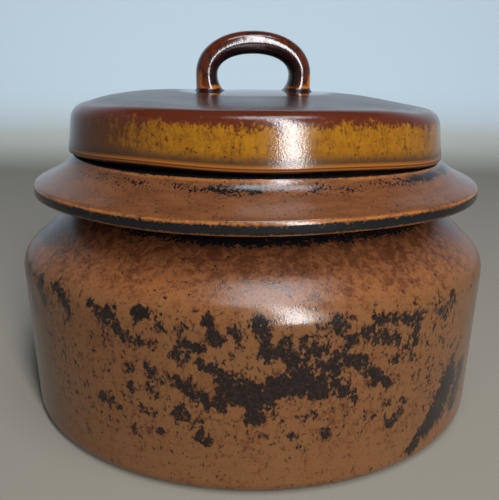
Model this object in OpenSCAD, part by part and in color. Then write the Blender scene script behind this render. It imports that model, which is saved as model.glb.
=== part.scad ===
// Stoneware soup tureen: a wide lidded bowl with a drooping brim to lift it by,
// and a cap-shaped lid with a pulled strap handle.
// The bowl and the lid are each one fired piece. The lid rests on the bowl's rim,
// and a ring under it drops into the mouth to keep it centred.

/* [Bowl] */
// Outer diameter where the wall turns into the shoulder
belly_d = 254; // [244:1:280]
// Outer diameter that the wall has at the table
base_d = 247.8; // [240:0.2:256]
// Height of the turn from wall to shoulder
shoulder_h = 84.5; // [76:0.5:110]
// Slope of the shoulder above the horizontal
shoulder_slope = 41.8; // [36:0.2:44]
// Radius of the turn from wall to shoulder
shoulder_round = 14; // [9:0.5:22]
// Radius of the wall's turn into the foot
base_round = 6.5; // [3:0.5:10]
// Thickness of the bowl's wall, from the floor up to the mouth
wall = 6.5; // [4.5:0.5:8]
// Thickness of the floor above the foot recess
floor_t = 7; // [5:0.5:10]
// Radius inside, where the wall meets the floor
inner_base_round = 16; // [8:1:26]

/* [Foot] */
// Width of the flat ring that the bowl stands on
foot_w = 9; // [5:0.5:16]
// Depth of the recess inside the foot ring
foot_recess = 2; // [1:0.25:3]

/* [Neck and brim] */
// Outer diameter of the neck under the brim
neck_d = 196; // [170:1:204]
// Radius of the hollow turns at both ends of the neck
neck_round = 3.5; // [2:0.25:4.5]
// Height of the neck, from the shoulder to the underside of the brim
neck_h = 8.9; // [8:0.1:14]
// How far the brim stands out from the neck
brim_w = 22; // [16:0.5:26]
// How far the underside of the brim falls from the neck to its edge
brim_droop = 4.5; // [1:0.5:6]
// Thickness of the brim at its edge
brim_edge = 6.6; // [4:0.2:8]
// Radius of the brim's two edges
edge_round = 1.9; // [1:0.1:2.5]
// Slope of the brim's upper face near the rim
brim_slope = 28.5; // [20:0.5:30]
// How far the brim's upper face is hollowed below a straight cone
brim_sag = 0.8; // [0.1:0.1:1.5]

/* [Rim] */
// How far the rim that the lid rests on stands out from the neck
rim_out = 1; // [0:0.25:2.5]
// Height of the rim above the brim's edge
rim_rise = 15; // [12.6:0.2:18]
// Slope of the rim's outer face above the horizontal
rim_slope = 66; // [55:1:80]
// Radius of the hollow turn from brim to rim
rim_foot_round = 6; // [3:0.5:8]
// Radius of the rim's outer edge
rim_round = 2.2; // [1:0.1:2.6]
// Radius of the mouth's upper edge
mouth_round = 1.5; // [0.5:0.1:2.5]

/* [Lid] */
// How far the lid's lower edge stands out from the rim
lid_overhang = 2.2; // [0.8:0.2:5]
// How far the lid's wall leans in between its lower edge and the turn into the crown
lid_taper = 3; // [1:0.2:8]
// Height of the lid's wall up to the turn into the crown
lid_wall_h = 23.4; // [20:0.2:36]
// Rise of the crown from the turn to the middle
crown_rise = 7.5; // [4:0.1:12]
// Radius of the turn from wall to crown
crown_round = 12.4; // [5:0.2:14]
// Radius of the lid's lower outer edge
lid_foot_round = 2.8; // [1:0.1:3.2]
// Thickness of the lid
lid_t = 6; // [4.5:0.5:7]

/* [Locating ring] */
// Gap all round between the locating ring and the mouth
ring_clearance = 1.2; // [0.6:0.1:2.5]
// Depth of the locating ring below the rim
ring_h = 8; // [5:0.5:11]
// Thickness of the locating ring
ring_t = 5; // [4:0.5:7]

/* [Handle] */
// Distance between the middles of the handle's legs
handle_span = 50.4; // [42:0.2:60]
// Height of the arch's middle line above the crown
handle_rise = 24.8; // [22:0.2:36]
// Straight part of each leg above the crown
leg_h = 8.8; // [4:0.2:12]
// How square the arch is: 2 is an ellipse, and more is squarer
arch_power = 2.15; // [1.9:0.05:2.8]
// Thickness of the strap at the top of the arch
strap_t = 11.9; // [8:0.1:15]
// Thickness of the strap at its legs
leg_t = 11.1; // [8:0.1:13]
// Width of the strap at the top of the arch
strap_w = 15.5; // [11:0.5:22]
// Width of the strap at its legs
leg_w = 17; // [12:0.5:24]
// How far the foot of each leg spreads towards the other leg
flare_in = 3.6; // [1:0.2:5]
// How far the foot of each leg spreads along its width, on each side
flare_side = 2; // [0.5:0.25:4]
// Height over which the foot of each leg spreads
flare_h = 8; // [3:0.5:9]

/* [Hidden] */

// Largest turn between two points of a rounded corner, in degrees
arc_step = 7.5;
// Sides of the handle's section, and steps along half of its arch
strap_sides = 24;
arch_steps = 12;
// Roundness of the strap's section: 2 is an ellipse, and more is squarer
strap_power = 2.3;
// How deep the legs of the handle are bedded in the crown
bedding = lid_t / 2;
// Radius of the small edges that are wiped before firing
wiped_round = 1;
// Share of an outline's side that one rounded corner may use
side_share = 0.48;

// Key radii and heights of the bowl
base_r = base_d / 2;
belly_r = belly_d / 2;
neck_r = neck_d / 2;
brim_r = neck_r + brim_w;
rim_r = neck_r + rim_out;
mouth_r = neck_r - wall;
foot_in_r = base_r - base_round - foot_w;
neck_low_z = shoulder_h + (belly_r - neck_r) * tan(shoulder_slope);
brim_root_z = neck_low_z + neck_h;
brim_low_z = brim_root_z - brim_droop;
brim_top_z = brim_low_z + brim_edge;
rim_z = brim_top_z + rim_rise;
floor_z = foot_recess + floor_t;

// The outer wall and the shoulder as lines, and the same lines moved in by the wall
wall_angle = atan2(shoulder_h, belly_r - base_r);
slope_angle = 180 - shoulder_slope;
inner_wall_point = [base_r, 0] + wall * [-sin(wall_angle), cos(wall_angle)];
inner_slope_point = [belly_r, shoulder_h] + wall * [-sin(slope_angle), cos(slope_angle)];

// Key radii and heights of the lid, which stands on the rim
seat_z = rim_z;
turn_z = seat_z + lid_wall_h;
lid_r = rim_r + lid_overhang;
lid_top_r = lid_r - lid_taper;
ring_r = mouth_r - ring_clearance;
ring_in_r = ring_r - ring_t;
crown_ball_r = (lid_top_r ^ 2 + crown_rise ^ 2) / (2 * crown_rise);
crown_ball_z = turn_z + crown_rise - crown_ball_r;
lid_wall_angle = atan2(lid_wall_h, lid_top_r - lid_r);
inner_lid_point = [lid_r, seat_z] + lid_t * [-sin(lid_wall_angle), cos(lid_wall_angle)];

// Key sizes of the handle's middle line
leg_x = handle_span / 2;
leg_root_z = crown_z(leg_x, 0);
arch_z = crown_z(0, 0) + handle_rise;
spring_z = leg_root_z + leg_h;

// Height of the crown at a distance from the axis, for the outer face or one set in by depth
function crown_z(r, depth) = crown_ball_z + sqrt((crown_ball_r - depth) ^ 2 - r ^ 2);

function unit(v) = v / norm(v);

// Where the line through p at angle a meets the line through q at angle b
function meet(p, a, q, b) =
    let (
        along = [cos(a), sin(a)],
        other = [cos(b), sin(b)],
        reach = cross(q - p, other) / cross(along, other)
    )
    p + along * reach;

// One corner of an outline, as an arc that touches both of its sides
function corner(before, at, after, radius) =
    let (
        back = unit(before - at),
        ahead = unit(after - at),
        half = acos(back * ahead) / 2,
        room = side_share * min(norm(before - at), norm(after - at)),
        reach = min(radius / tan(half), room),
        round_r = reach * tan(half),
        middle = at + unit(back + ahead) * round_r / sin(half),
        spoke = at + back * reach - middle,
        turn = (180 - 2 * half) * sign(cross(ahead, back)),
        steps = ceil(abs(turn) / arc_step)
    )
    [for (i = [0:steps])
        let (a = turn * i / steps)
        middle + [spoke.x * cos(a) - spoke.y * sin(a), spoke.x * sin(a) + spoke.y * cos(a)]];

// A closed outline of [radius, height, rounding] corners, with each corner rounded
function rounded(corners) =
    let (n = len(corners), p = [for (c = corners) [c[0], c[1]]])
    [for (i = [0:n - 1])
        each corners[i][2] <= 0 ? [p[i]]
            : corner(p[(i + n - 1) % n], p[i], p[(i + 1) % n], corners[i][2])];

// Straight cone of the brim's upper face, up to where the rim's outer face meets it
rim_foot = meet([brim_r, brim_top_z], 180 - brim_slope, [rim_r, rim_z], -rim_slope);
brim_middle = ([brim_r, brim_top_z] + rim_foot) / 2 - brim_sag * [0, 1];

bowl_outline = rounded([
    [0, foot_recess, 0],
    [foot_in_r, foot_recess, wiped_round],
    [foot_in_r, 0, wiped_round],
    [base_r, 0, base_round],
    [belly_r, shoulder_h, shoulder_round],
    [neck_r, neck_low_z, neck_round],
    [neck_r, brim_root_z, neck_round],
    [brim_r, brim_low_z, edge_round],
    [brim_r, brim_top_z, edge_round],
    [brim_middle.x, brim_middle.y, brim_r],
    [rim_foot.x, rim_foot.y, rim_foot_round],
    [rim_r, rim_z, rim_round],
    [mouth_r, rim_z, mouth_round],
    concat(meet([mouth_r, 0], 90, inner_slope_point, slope_angle), shoulder_round),
    concat(meet(inner_slope_point, slope_angle, inner_wall_point, wall_angle), shoulder_round - wall),
    concat(meet([0, floor_z], 0, inner_wall_point, wall_angle), inner_base_round),
    [0, floor_z, 0]
]);

// Radii at which the shallow crown has a point, out to where it turns into the wall
crown_radii = [for (i = [0:7]) (lid_top_r - crown_round) * i / 7];
inner_crown_radii = [for (i = [7:-1:0]) (lid_top_r - crown_round - lid_t) * i / 7];
inner_turn = [lid_top_r - lid_t, crown_z(lid_top_r - lid_t, lid_t)];

lid_outline = rounded(concat(
    [for (r = crown_radii) [r, crown_z(r, 0), 0]],
    [
        [lid_top_r, turn_z, crown_round],
        [lid_r, seat_z, lid_foot_round],
        [ring_r, seat_z, wiped_round],
        [ring_r, seat_z - ring_h, wiped_round],
        [ring_in_r, seat_z - ring_h, wiped_round],
        [ring_in_r, seat_z + lid_t, lid_t / 2],
        concat(meet([0, seat_z + lid_t], 0, inner_lid_point, lid_wall_angle), lid_t / 2),
        [inner_turn.x, inner_turn.y, crown_round - lid_t / 2]
    ],
    [for (r = inner_crown_radii) [r, crown_z(r, lid_t), 0]]
));

// Signed power, which draws the flattened ellipses of the arch and the strap
function signed_pow(x, p) = sign(x) * pow(abs(x), p);

// Middle line of the handle: a point and its outward direction for each step of the arch
function arch_point(a) =
    [leg_x * signed_pow(cos(a), 2 / arch_power), spring_z + (arch_z - spring_z) * pow(sin(a), 2 / arch_power)];
function arch_out(a) =
    unit([
        signed_pow(cos(a), 2 - 2 / arch_power) / leg_x,
        pow(sin(a), 2 - 2 / arch_power) / (arch_z - spring_z)
    ]);

// Share of its full spread that a leg has at a height above the crown
function flare(h) = pow(max(0, 1 - max(h, 0) / flare_h), 2);

// One ring of the strap: its middle, outward direction, thickness and width
function strap_ring(at, out, t, w) =
    [for (i = [0:strap_sides - 1])
        let (
            a = 360 * i / strap_sides,
            u = t / 2 * signed_pow(cos(a), 2 / strap_power),
            v = w / 2 * signed_pow(sin(a), 2 / strap_power)
        )
        [at.x + out.x * u, v, at.y + out.y * u]];

// Heights above the crown at which a leg has a ring
leg_steps = concat([-bedding], [for (i = [0:6]) flare_h * pow(i / 6, 1.5)]);
arch_angles = [for (i = [0:2 * arch_steps]) 90 * i / arch_steps];

// Strap thickness and width on the arch, blended from leg to top
function strap_size(a) =
    let (share = pow(sin(a), 2))
    [leg_t + (strap_t - leg_t) * share, leg_w + (strap_w - leg_w) * share];

// One ring of a leg, whose spread is all on the inner side and along the width
function leg_ring(side, h) =
    let (spread = flare_in * flare(h))
    strap_ring(
        [side * (leg_x - spread / 2), leg_root_z + h], [side, 0],
        leg_t + spread, leg_w + 2 * flare_side * flare(h)
    );

handle_rings = concat(
    [for (h = leg_steps) leg_ring(1, h)],
    [for (a = arch_angles) strap_ring(arch_point(a), arch_out(a), strap_size(a)[0], strap_size(a)[1])],
    [for (i = [len(leg_steps) - 1:-1:0]) leg_ring(-1, leg_steps[i])]
);

// A closed skin over a row of rings that have the same number of points
module skin(rings) {
    sides = len(rings[0]);
    last = (len(rings) - 1) * sides;
    points = [for (ring = rings) each ring];
    strips = [for (j = [0:len(rings) - 2], i = [0:sides - 1])
        let (k = (i + 1) % sides, low = j * sides, high = low + sides)
        each [[low + i, high + i, high + k], [low + i, high + k, low + k]]];
    start_cap = [[for (i = [0:sides - 1]) i]];
    end_cap = [[for (i = [sides - 1:-1:0]) last + i]];
    polyhedron(points = points, faces = concat(strips, start_cap, end_cap), convexity = 6);
}

// The pot itself: foot, wall, shoulder, neck, brim and rim in one turned form
module bowl() {
    color("saddlebrown")
        rotate_extrude($fn = 180)
            polygon(bowl_outline);
}

// The pulled strap that is joined to the crown before firing
module handle() {
    skin(handle_rings);
}

// Cap-shaped lid with its locating ring and its handle, fired as one piece
module lid() {
    color("sienna")
        union() {
            rotate_extrude($fn = 180)
                polygon(lid_outline);
            handle();
        }
}

bowl();
lid();
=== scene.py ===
# %% [markdown]
# # A stoneware soup tureen
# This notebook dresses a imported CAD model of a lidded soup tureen. The pot is thrown stoneware:
# a wide bowl with a drooping brim, and a cap-shaped lid with a pulled strap handle. What makes it
# look real is its glaze, which is thin and orange over edges, black where it pools, and flecked.
# The CAD model gives the sizes. Every piece made here sits in the same frame, in metres.

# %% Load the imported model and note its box
import math

import bpy
import numpy as np
from mathutils import Matrix, Vector


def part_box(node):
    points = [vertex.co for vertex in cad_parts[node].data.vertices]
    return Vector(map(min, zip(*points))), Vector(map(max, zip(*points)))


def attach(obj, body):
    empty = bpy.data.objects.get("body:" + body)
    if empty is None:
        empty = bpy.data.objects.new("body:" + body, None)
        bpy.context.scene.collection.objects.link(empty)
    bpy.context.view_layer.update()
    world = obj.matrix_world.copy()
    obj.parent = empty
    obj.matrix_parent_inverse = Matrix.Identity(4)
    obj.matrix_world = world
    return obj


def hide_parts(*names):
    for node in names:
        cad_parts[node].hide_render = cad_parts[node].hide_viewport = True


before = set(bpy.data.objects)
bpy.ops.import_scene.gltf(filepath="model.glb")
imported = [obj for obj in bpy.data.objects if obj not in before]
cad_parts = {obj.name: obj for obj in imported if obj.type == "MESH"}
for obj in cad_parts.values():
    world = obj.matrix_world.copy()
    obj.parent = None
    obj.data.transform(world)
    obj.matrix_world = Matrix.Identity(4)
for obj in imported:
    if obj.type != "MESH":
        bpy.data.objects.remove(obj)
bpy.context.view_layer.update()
MM = 0.001
bowl_low, bowl_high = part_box("bowl")
lid_low, lid_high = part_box("lid")
print("bowl, mm:", [round(v / MM, 2) for v in (*bowl_low, *bowl_high)])
print("lid, mm:", [round(v / MM, 2) for v in (*lid_low, *lid_high)])

# %% [markdown]
# ## The camera
# A camera is a place, a direction and a focal length. This one stands close and looks down a
# little, as when someone takes a picture of a pot on a table. It stands slightly to the left of
# the handle's front, so the handle shows the inner side of its right leg. A slight roll is kept,
# because a picture taken by hand is never level.

# %% Place the camera
CAMERA_AWAY = 0.3655
CAMERA_HEIGHT = 0.1812
CAMERA_PITCH = 16.02
CAMERA_ROLL = 0.42
CAMERA_LEFT_OF_POT = 0.265
FRONT = -8.0
LENS = 46.6

camera_data = bpy.data.cameras.new("camera")
camera_data.lens = LENS
camera_data.clip_start = 0.02
camera = bpy.data.objects.new("camera", camera_data)
bpy.context.scene.collection.objects.link(camera)
turn = Matrix.Rotation(math.radians(FRONT + CAMERA_LEFT_OF_POT), 4, "Z")
pitch = Matrix.Rotation(math.radians(90 - CAMERA_PITCH), 4, "X")
roll = Matrix.Rotation(math.radians(CAMERA_ROLL), 4, "Z")
front = math.radians(FRONT)
camera_at = Vector((math.sin(front), -math.cos(front), 0)) * CAMERA_AWAY
camera_at.z = CAMERA_HEIGHT
camera.matrix_world = Matrix.Translation(camera_at) @ turn @ pitch @ roll
bpy.context.scene.camera = camera
print("camera at", [round(v, 3) for v in camera_at])

# %% [markdown]
# ## Turned outlines
# A thrown pot is its outline turned round an axis. The outline is drawn as a few corners, each
# with a radius and a height in millimetres and a rounding. Real clay has no sharp edge, so each
# corner becomes an arc that touches both of its sides. The straight stretches are then cut into
# short steps, so that the mesh is even and a colour can change along it. What is seen gets
# shorter steps than the inside and the underneath.

# %% Draw an outline from corners
ARC_STEP = 6.0
SIDE_SHARE = 0.48


def unit(v):
    """A vector's direction, one long."""
    return v / np.linalg.norm(v)


def cross(a, b):
    """The cross product of two flat vectors, which is above zero for a left turn."""
    return a[0] * b[1] - a[1] * b[0]


def heading(degrees):
    """The direction at an angle up from the outward radius."""
    return np.array([math.cos(math.radians(degrees)), math.sin(math.radians(degrees))])


def meet(p, a, q, b):
    """Where the line through p at angle a meets the line through q at angle b."""
    p, q = np.array(p, float), np.array(q, float)
    reach = cross(q - p, heading(b)) / cross(heading(a), heading(b))
    return p + heading(a) * reach


def corner(before, at, after, radius):
    """One corner as the points of an arc that touches both of its sides."""
    back, ahead = unit(before - at), unit(after - at)
    half = math.acos(np.clip(back @ ahead, -1, 1)) / 2
    room = SIDE_SHARE * min(np.linalg.norm(before - at), np.linalg.norm(after - at))
    reach = min(radius / math.tan(half), room)
    middle = at + unit(back + ahead) * reach * math.tan(half) / math.sin(half)
    spoke = at + back * reach - middle
    swing = (math.pi - 2 * half) * np.sign(cross(ahead, back))
    steps = max(1, math.ceil(abs(math.degrees(swing)) / ARC_STEP))
    angles = [swing * i / steps for i in range(steps + 1)]
    return [middle + [spoke[0] * math.cos(a) - spoke[1] * math.sin(a),
                      spoke[0] * math.sin(a) + spoke[1] * math.cos(a)] for a in angles]


def rounded(corners):
    """An outline of [radius, height, rounding] corners with each corner rounded."""
    points = [np.array(c[:2], float) for c in corners]
    outline = []
    for i, (at, (_, _, radius)) in enumerate(zip(points, corners)):
        ahead = points[(i + 1) % len(points)]
        outline += [at] if radius <= 0 else corner(points[i - 1], at, ahead, radius)
    return outline


def walked(outline, step):
    """The same outline with its long stretches cut into steps, in millimetres."""
    points = [outline[0]]
    for start, end in zip(outline[:-1], outline[1:]):
        pieces = max(1, math.ceil(np.linalg.norm(end - start) / step))
        points += [start + (end - start) * (i + 1) / pieces for i in range(pieces)]
    return points


# %% [markdown]
# ## The bowl's outline
# From the foot ring the wall rises almost straight, turns into a sloping shoulder and closes to a
# short neck. The brim is thrown out from the neck and droops. Above it the clay turns up again
# in a cove, which is a curve drawn from three points, into the rim that the lid rests on. The
# inside follows at the wall's thickness.

# %% Set the bowl's sizes and draw its outline
WALL = 6.5
BASE_R, BELLY_R, SHOULDER_Z = 123.9, 127.0, 84.5
SHOULDER_SLOPE, SHOULDER_ROUND = 41.8, 14.0
FOOT_IN_R, FOOT_RECESS, FOOT_ROUND, HEEL_ROUND = 108.4, 2.0, 1, 6.5
FLOOR_Z, FLOOR_ROUND = 9.0, 16
NECK_R, NECK_H, NECK_ROUND = 98.0, 8.9, 3.5
BRIM_R, BRIM_DROOP, BRIM_EDGE, BRIM_SLOPE, BRIM_SAG = 120.0, 4.5, 6.6, 28.5, 0.8
BRIM_LOW_ROUND, BRIM_TOP_ROUND = 1.9, 2.7
RIM_R, RIM_SLOPE, RIM_FALL, RIM_ROUND = 99.0, 66.0, 0.7, 1.8
LIP_W, LIP_ROUND, MOUTH_R, MOUTH_ROUND = 3.5, 2, 91.5, 1.5
COVE_OUT, COVE_UP, COVE_POINTS = 7.0, 3.6, 12
OUTER_STEP, INNER_STEP, TOUCH = 1.8, 6.0, 0.01

rim_z = bowl_high.z / MM
neck_low_z = SHOULDER_Z + (BELLY_R - NECK_R) * math.tan(math.radians(SHOULDER_SLOPE))
brim_low_z = neck_low_z + NECK_H - BRIM_DROOP
brim_top_z = brim_low_z + BRIM_EDGE
wall_angle = math.degrees(math.atan2(SHOULDER_Z, BELLY_R - BASE_R))
slope_angle = 180 - SHOULDER_SLOPE
inner_wall = np.array([BASE_R, 0]) + WALL * heading(wall_angle + 90)
inner_slope = np.array([BELLY_R, SHOULDER_Z]) + WALL * heading(slope_angle + 90)
rim_foot = meet([BRIM_R, brim_top_z], 180 - BRIM_SLOPE, [RIM_R, rim_z], -RIM_SLOPE)
brim_middle = (np.array([BRIM_R, brim_top_z]) + rim_foot) / 2 - [0, BRIM_SAG]
cove_out = rim_foot + COVE_OUT * unit(brim_middle - rim_foot)
cove_up = rim_foot + COVE_UP * unit(np.array([RIM_R, rim_z]) - rim_foot)
cove = [[*((1 - t) ** 2 * cove_out + 2 * t * (1 - t) * rim_foot + t * t * cove_up), 0]
        for t in np.linspace(0, 1, COVE_POINTS)]

bowl_outside = [
    [0, FOOT_RECESS, 0], [FOOT_IN_R, FOOT_RECESS, FOOT_ROUND], [FOOT_IN_R, 0, FOOT_ROUND],
    [BASE_R, 0, HEEL_ROUND], [BELLY_R, SHOULDER_Z, SHOULDER_ROUND],
    [NECK_R, neck_low_z, NECK_ROUND], [NECK_R, neck_low_z + NECK_H, NECK_ROUND],
    [BRIM_R, brim_low_z, BRIM_LOW_ROUND], [BRIM_R, brim_top_z, BRIM_TOP_ROUND],
    [*brim_middle, BRIM_R], *cove,
    [RIM_R, rim_z - RIM_FALL, RIM_ROUND], [RIM_R - LIP_W, rim_z, LIP_ROUND]]
bowl_inside = [
    [MOUTH_R, rim_z, MOUTH_ROUND],
    [*meet([MOUTH_R, 0], 90, inner_slope, slope_angle), SHOULDER_ROUND],
    [*meet(inner_slope, slope_angle, inner_wall, wall_angle), SHOULDER_ROUND - WALL],
    [*meet([0, FLOOR_Z], 0, inner_wall, wall_angle), FLOOR_ROUND], [0, FLOOR_Z, 0]]
bowl_line = rounded(bowl_outside + bowl_inside)
top = max(i for i, p in enumerate(bowl_line) if p[1] > rim_z - TOUCH)
foot = max(i for i in range(top) if bowl_line[i][1] < TOUCH)
under, outer, inner = bowl_line[:foot + 1], bowl_line[foot:top + 1], bowl_line[top:]
bowl_line = walked(under, INNER_STEP) + walked(outer, OUTER_STEP)[1:] + walked(inner, INNER_STEP)[1:]
print("bowl outline:", len(bowl_line), "points, widest", round(max(p[0] for p in bowl_line), 2))

# %% [markdown]
# ## Turning an outline
# Blender's Screw modifier could turn the outline, but a mesh made in code also knows where each
# point lies on the pot: its angle, its radius and its height. The glaze is painted with these.
# Hand work is never quite true, so each turned form is moved a little before its mesh is made.
# The amounts are millimetres, so they show as life and not as damage.

# %% Angles, soft steps and a mesh from points
TURN_STEPS = 300


def smooth(low, high, value):
    """0 below low, 1 above high, and a soft step between them."""
    t = np.clip((np.asarray(value, float) - low) / (high - low), 0, 1)
    return t * t * (3 - 2 * t)


def from_front(points):
    """Angle round the pot in degrees, from the photographed front and rising to the right."""
    angle = np.degrees(np.arctan2(points[:, 0], -points[:, 1])) - FRONT
    return (angle + 180) % 360 - 180


def angle_gap(angles, at):
    """How many degrees round the pot each angle lies from a place."""
    return np.abs((angles - at + 180) % 360 - 180)


def lifted(angles, bumps):
    """The sum of soft bumps (angle, half width, lift) round the pot."""
    return sum(lift * (1 - smooth(0, half, angle_gap(angles, at))) for at, half, lift in bumps)


def aside(points, distance):
    """Moves points to the right of the photographed front."""
    points[:, 0] += distance * math.cos(front)
    points[:, 1] += distance * math.sin(front)


def mesh_piece(name, points, faces):
    """A smooth mesh object from points in millimetres."""
    mesh = bpy.data.meshes.new(name)
    mesh.from_pydata((points * MM).tolist(), [], faces)
    mesh.update()
    mesh.shade_smooth()
    piece = bpy.data.objects.new(name, mesh)
    bpy.context.scene.collection.objects.link(piece)
    triangles = sum(len(f) - 2 for f in faces)
    print(f"{name}: {len(points)} points, {triangles} triangles")
    return piece


def turned(outline, steps=TURN_STEPS, closed=True):
    """The points and faces of an outline turned round the axis, closed if it ends on the axis."""
    angles = np.arange(steps) * 2 * math.pi / steps
    ring = np.stack([np.cos(angles), np.sin(angles)], axis=1)
    rings = outline[1:-1] if closed else outline[1:]
    points = [np.array([[0, 0, outline[0][1]]])]
    points += [np.column_stack([ring * radius, np.full(steps, height)]) for radius, height in rings]
    last = 1 + len(rings) * steps
    faces = []
    for i in range(steps):
        k = (i + 1) % steps
        faces.append((0, 1 + k, 1 + i))
        for low in range(1, last - steps, steps):
            high = low + steps
            faces.append((low + i, low + k, high + k, high + i))
        if closed:
            faces.append((last - steps + i, last - steps + k, last))
    if closed:
        points.append(np.array([[0, 0, outline[-1][1]]]))
    return np.concatenate(points), faces


def outline_index(outline):
    """For each point that turned() makes of a closed outline, which point it comes from."""
    rings = np.repeat(np.arange(1, len(outline) - 1), TURN_STEPS)
    return np.concatenate([[0], rings, [len(outline) - 1]])


# %% [markdown]
# ## The bowl
# The brim was thrown out last, with wet hands. It sits a millimetre to the right of the body, and
# its edge waves up and down. The rim has sunk a little on the right.

# %% Make the bowl
BRIM_ASIDE = 1.3
BRIM_REACH, RIM_REACH = (RIM_R + 2, BRIM_R), (rim_foot[1] - 1, rim_z)
BRIM_WAVES = [(-46, 34, 0.8), (-5, 34, 0.3), (24, 30, 1.0), (52, 30, 0.5),
              (150, 60, -0.4), (-140, 50, 0.5)]
RIM_SINKS = [(76, 62, -2.6)]

bowl_points, bowl_faces = turned(bowl_line)
radius = np.hypot(bowl_points[:, 0], bowl_points[:, 1])
height = bowl_points[:, 2]
angle = from_front(bowl_points)
bowl_made = bowl_points.copy()
on_brim = smooth(neck_low_z, brim_low_z, height) * smooth(*BRIM_REACH, radius)
bowl_made[:, 2] += on_brim * lifted(angle, BRIM_WAVES)
bowl_made[:, 2] += smooth(*RIM_REACH, height) * lifted(angle, RIM_SINKS)
aside(bowl_made, BRIM_ASIDE * smooth(SHOULDER_Z, neck_low_z, height))
bowl = mesh_piece("bowl_pot", bowl_made, bowl_faces)
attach(bowl, "root")
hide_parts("bowl")

# %% [markdown]
# ## The lid's outline
# The lid is a shallow cap. Its crown is part of a large ball, its wall leans in a little, and a
# ring under it drops into the mouth and keeps it centred. Its foot stands out over the rim, and
# is cut back underneath, so that a dark line shows where the two pieces meet. The line is deepened
# with painted shade on both pieces.

# %% Set the lid's sizes and draw its outline
LID_R, LID_TOP_R, LID_WALL_H, CROWN_RISE = 101.2, 98.2, 23.4, 7.5
CROWN_ROUND, LID_FOOT_ROUND, LID_T = 12.4, 2.8, 6.0
RING_R, RING_T, RING_H, RING_ROUND = 90.3, 5.0, 8.0, 1
SEAT_R, FOOT_RAISE = 96.8, 1.0
CROWN_POINTS, CEILING_POINTS = 24, 16

seat_z = lid_low.z / MM + RING_H
turn_z = seat_z + LID_WALL_H
crown_ball_r = (LID_TOP_R ** 2 + CROWN_RISE ** 2) / (2 * CROWN_RISE)
crown_ball_z = turn_z + CROWN_RISE - crown_ball_r
lid_wall_angle = math.degrees(math.atan2(LID_WALL_H, LID_TOP_R - LID_R))
inner_lid = np.array([LID_R, seat_z]) + LID_T * heading(lid_wall_angle + 90)


def crown_z(radius, depth=0.0):
    """Height of the crown at a distance from the axis, or of a face set in by depth."""
    return crown_ball_z + math.sqrt((crown_ball_r - depth) ** 2 - radius ** 2)


crown = [[r, crown_z(r), 0] for r in np.linspace(0, LID_TOP_R - CROWN_ROUND, CROWN_POINTS)]
ceiling_r = LID_TOP_R - CROWN_ROUND - LID_T
ceiling = [[r, crown_z(r, LID_T), 0] for r in np.linspace(ceiling_r, 0, CEILING_POINTS)]
lid_wall = [[LID_TOP_R, turn_z, CROWN_ROUND], [LID_R, seat_z + FOOT_RAISE, LID_FOOT_ROUND],
            [SEAT_R, seat_z, RING_ROUND], [RING_R, seat_z, RING_ROUND]]
ring_under = [
    [RING_R, seat_z - RING_H, RING_ROUND], [RING_R - RING_T, seat_z - RING_H, RING_ROUND],
    [RING_R - RING_T, seat_z + LID_T, LID_T / 2],
    [*meet([0, seat_z + LID_T], 0, inner_lid, lid_wall_angle), LID_T / 2],
    [LID_TOP_R - LID_T, crown_z(LID_TOP_R - LID_T, LID_T), CROWN_ROUND - LID_T / 2]]
lid_line = rounded(crown + lid_wall + ring_under + ceiling)
lid_foot = next(i for i, p in enumerate(lid_line) if p[1] < seat_z + TOUCH)
lid_line = walked(lid_line[:lid_foot + 1], OUTER_STEP) + walked(lid_line[lid_foot:], INNER_STEP)[1:]
lid_line.reverse()
print("lid outline:", len(lid_line), "points")

# %% [markdown]
# ## The lid's warp
# In the kiln this lid warped. Its foot lifted at the front and sank on the right. Its crown is
# fuller on the left and at the front, and falls away on the right. Each warp fades in over a
# reach in millimetres from the axis. The crown's part is full at the turn and the foot's part
# at the foot, and they share the wall between them.

# %% Warp the lid and make it
LID_ASIDE = 0.9
FOOT_WARPS = [(-30, 36, 1.6), (24, 40, 0.5), (76, 62, -3.7), (-84, 26, -1.6)]
LEFT_FULL, RIGHT_LOW, FRONT_FULL, CROWN_UP = 2.3, 2.0, 2.0, 0.3
FULL_AT, FULL_HALF, FULL_START = -68, 52, (-100, -84)
FULL_FADE, FULL_FADE_SHARE = (78, 98), 0.7
RIGHT_REACH, FRONT_REACH = (52, 94), (48, 96)
FOOT_REACH, WALL_REACH = (SEAT_R, LID_R - 1), (seat_z + 2, turn_z)

lid_points, lid_faces = turned(lid_line)
lid_radius = np.hypot(lid_points[:, 0], lid_points[:, 1])
lid_height = lid_points[:, 2]
rightwards = lid_points[:, 0] * math.cos(front) + lid_points[:, 1] * math.sin(front)
forwards = lid_points[:, 0] * math.sin(front) - lid_points[:, 1] * math.cos(front)
left_full = 1 - smooth(0, FULL_HALF, np.abs(rightwards - FULL_AT))
left_full *= smooth(*FULL_START, rightwards) * (1 - FULL_FADE_SHARE * smooth(*FULL_FADE, lid_radius))
crown_warp = LEFT_FULL * left_full - RIGHT_LOW * smooth(*RIGHT_REACH, rightwards) + CROWN_UP
crown_warp += FRONT_FULL * smooth(*FRONT_REACH, forwards)
foot_warp = smooth(*FOOT_REACH, lid_radius) * lifted(from_front(lid_points), FOOT_WARPS)
up_the_wall = smooth(*WALL_REACH, lid_height)
lid_made = lid_points.copy()
lid_made[:, 2] += up_the_wall * crown_warp + (1 - up_the_wall) * foot_warp
aside(lid_made, LID_ASIDE)
lid = mesh_piece("lid_cap", lid_made, lid_faces)
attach(lid, "root")
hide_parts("lid")

# %% [markdown]
# ## The pulled handle
# A handle is pulled from a lump of clay into a strap, bent into an arch and pressed on. Its
# middle line is two straight legs and half of a flattened ellipse, and its section is a flattened
# ellipse too. At its feet the clay is smeared out with a fingertip, mostly inwards, so the rings
# of the legs crowd together there.

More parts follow.
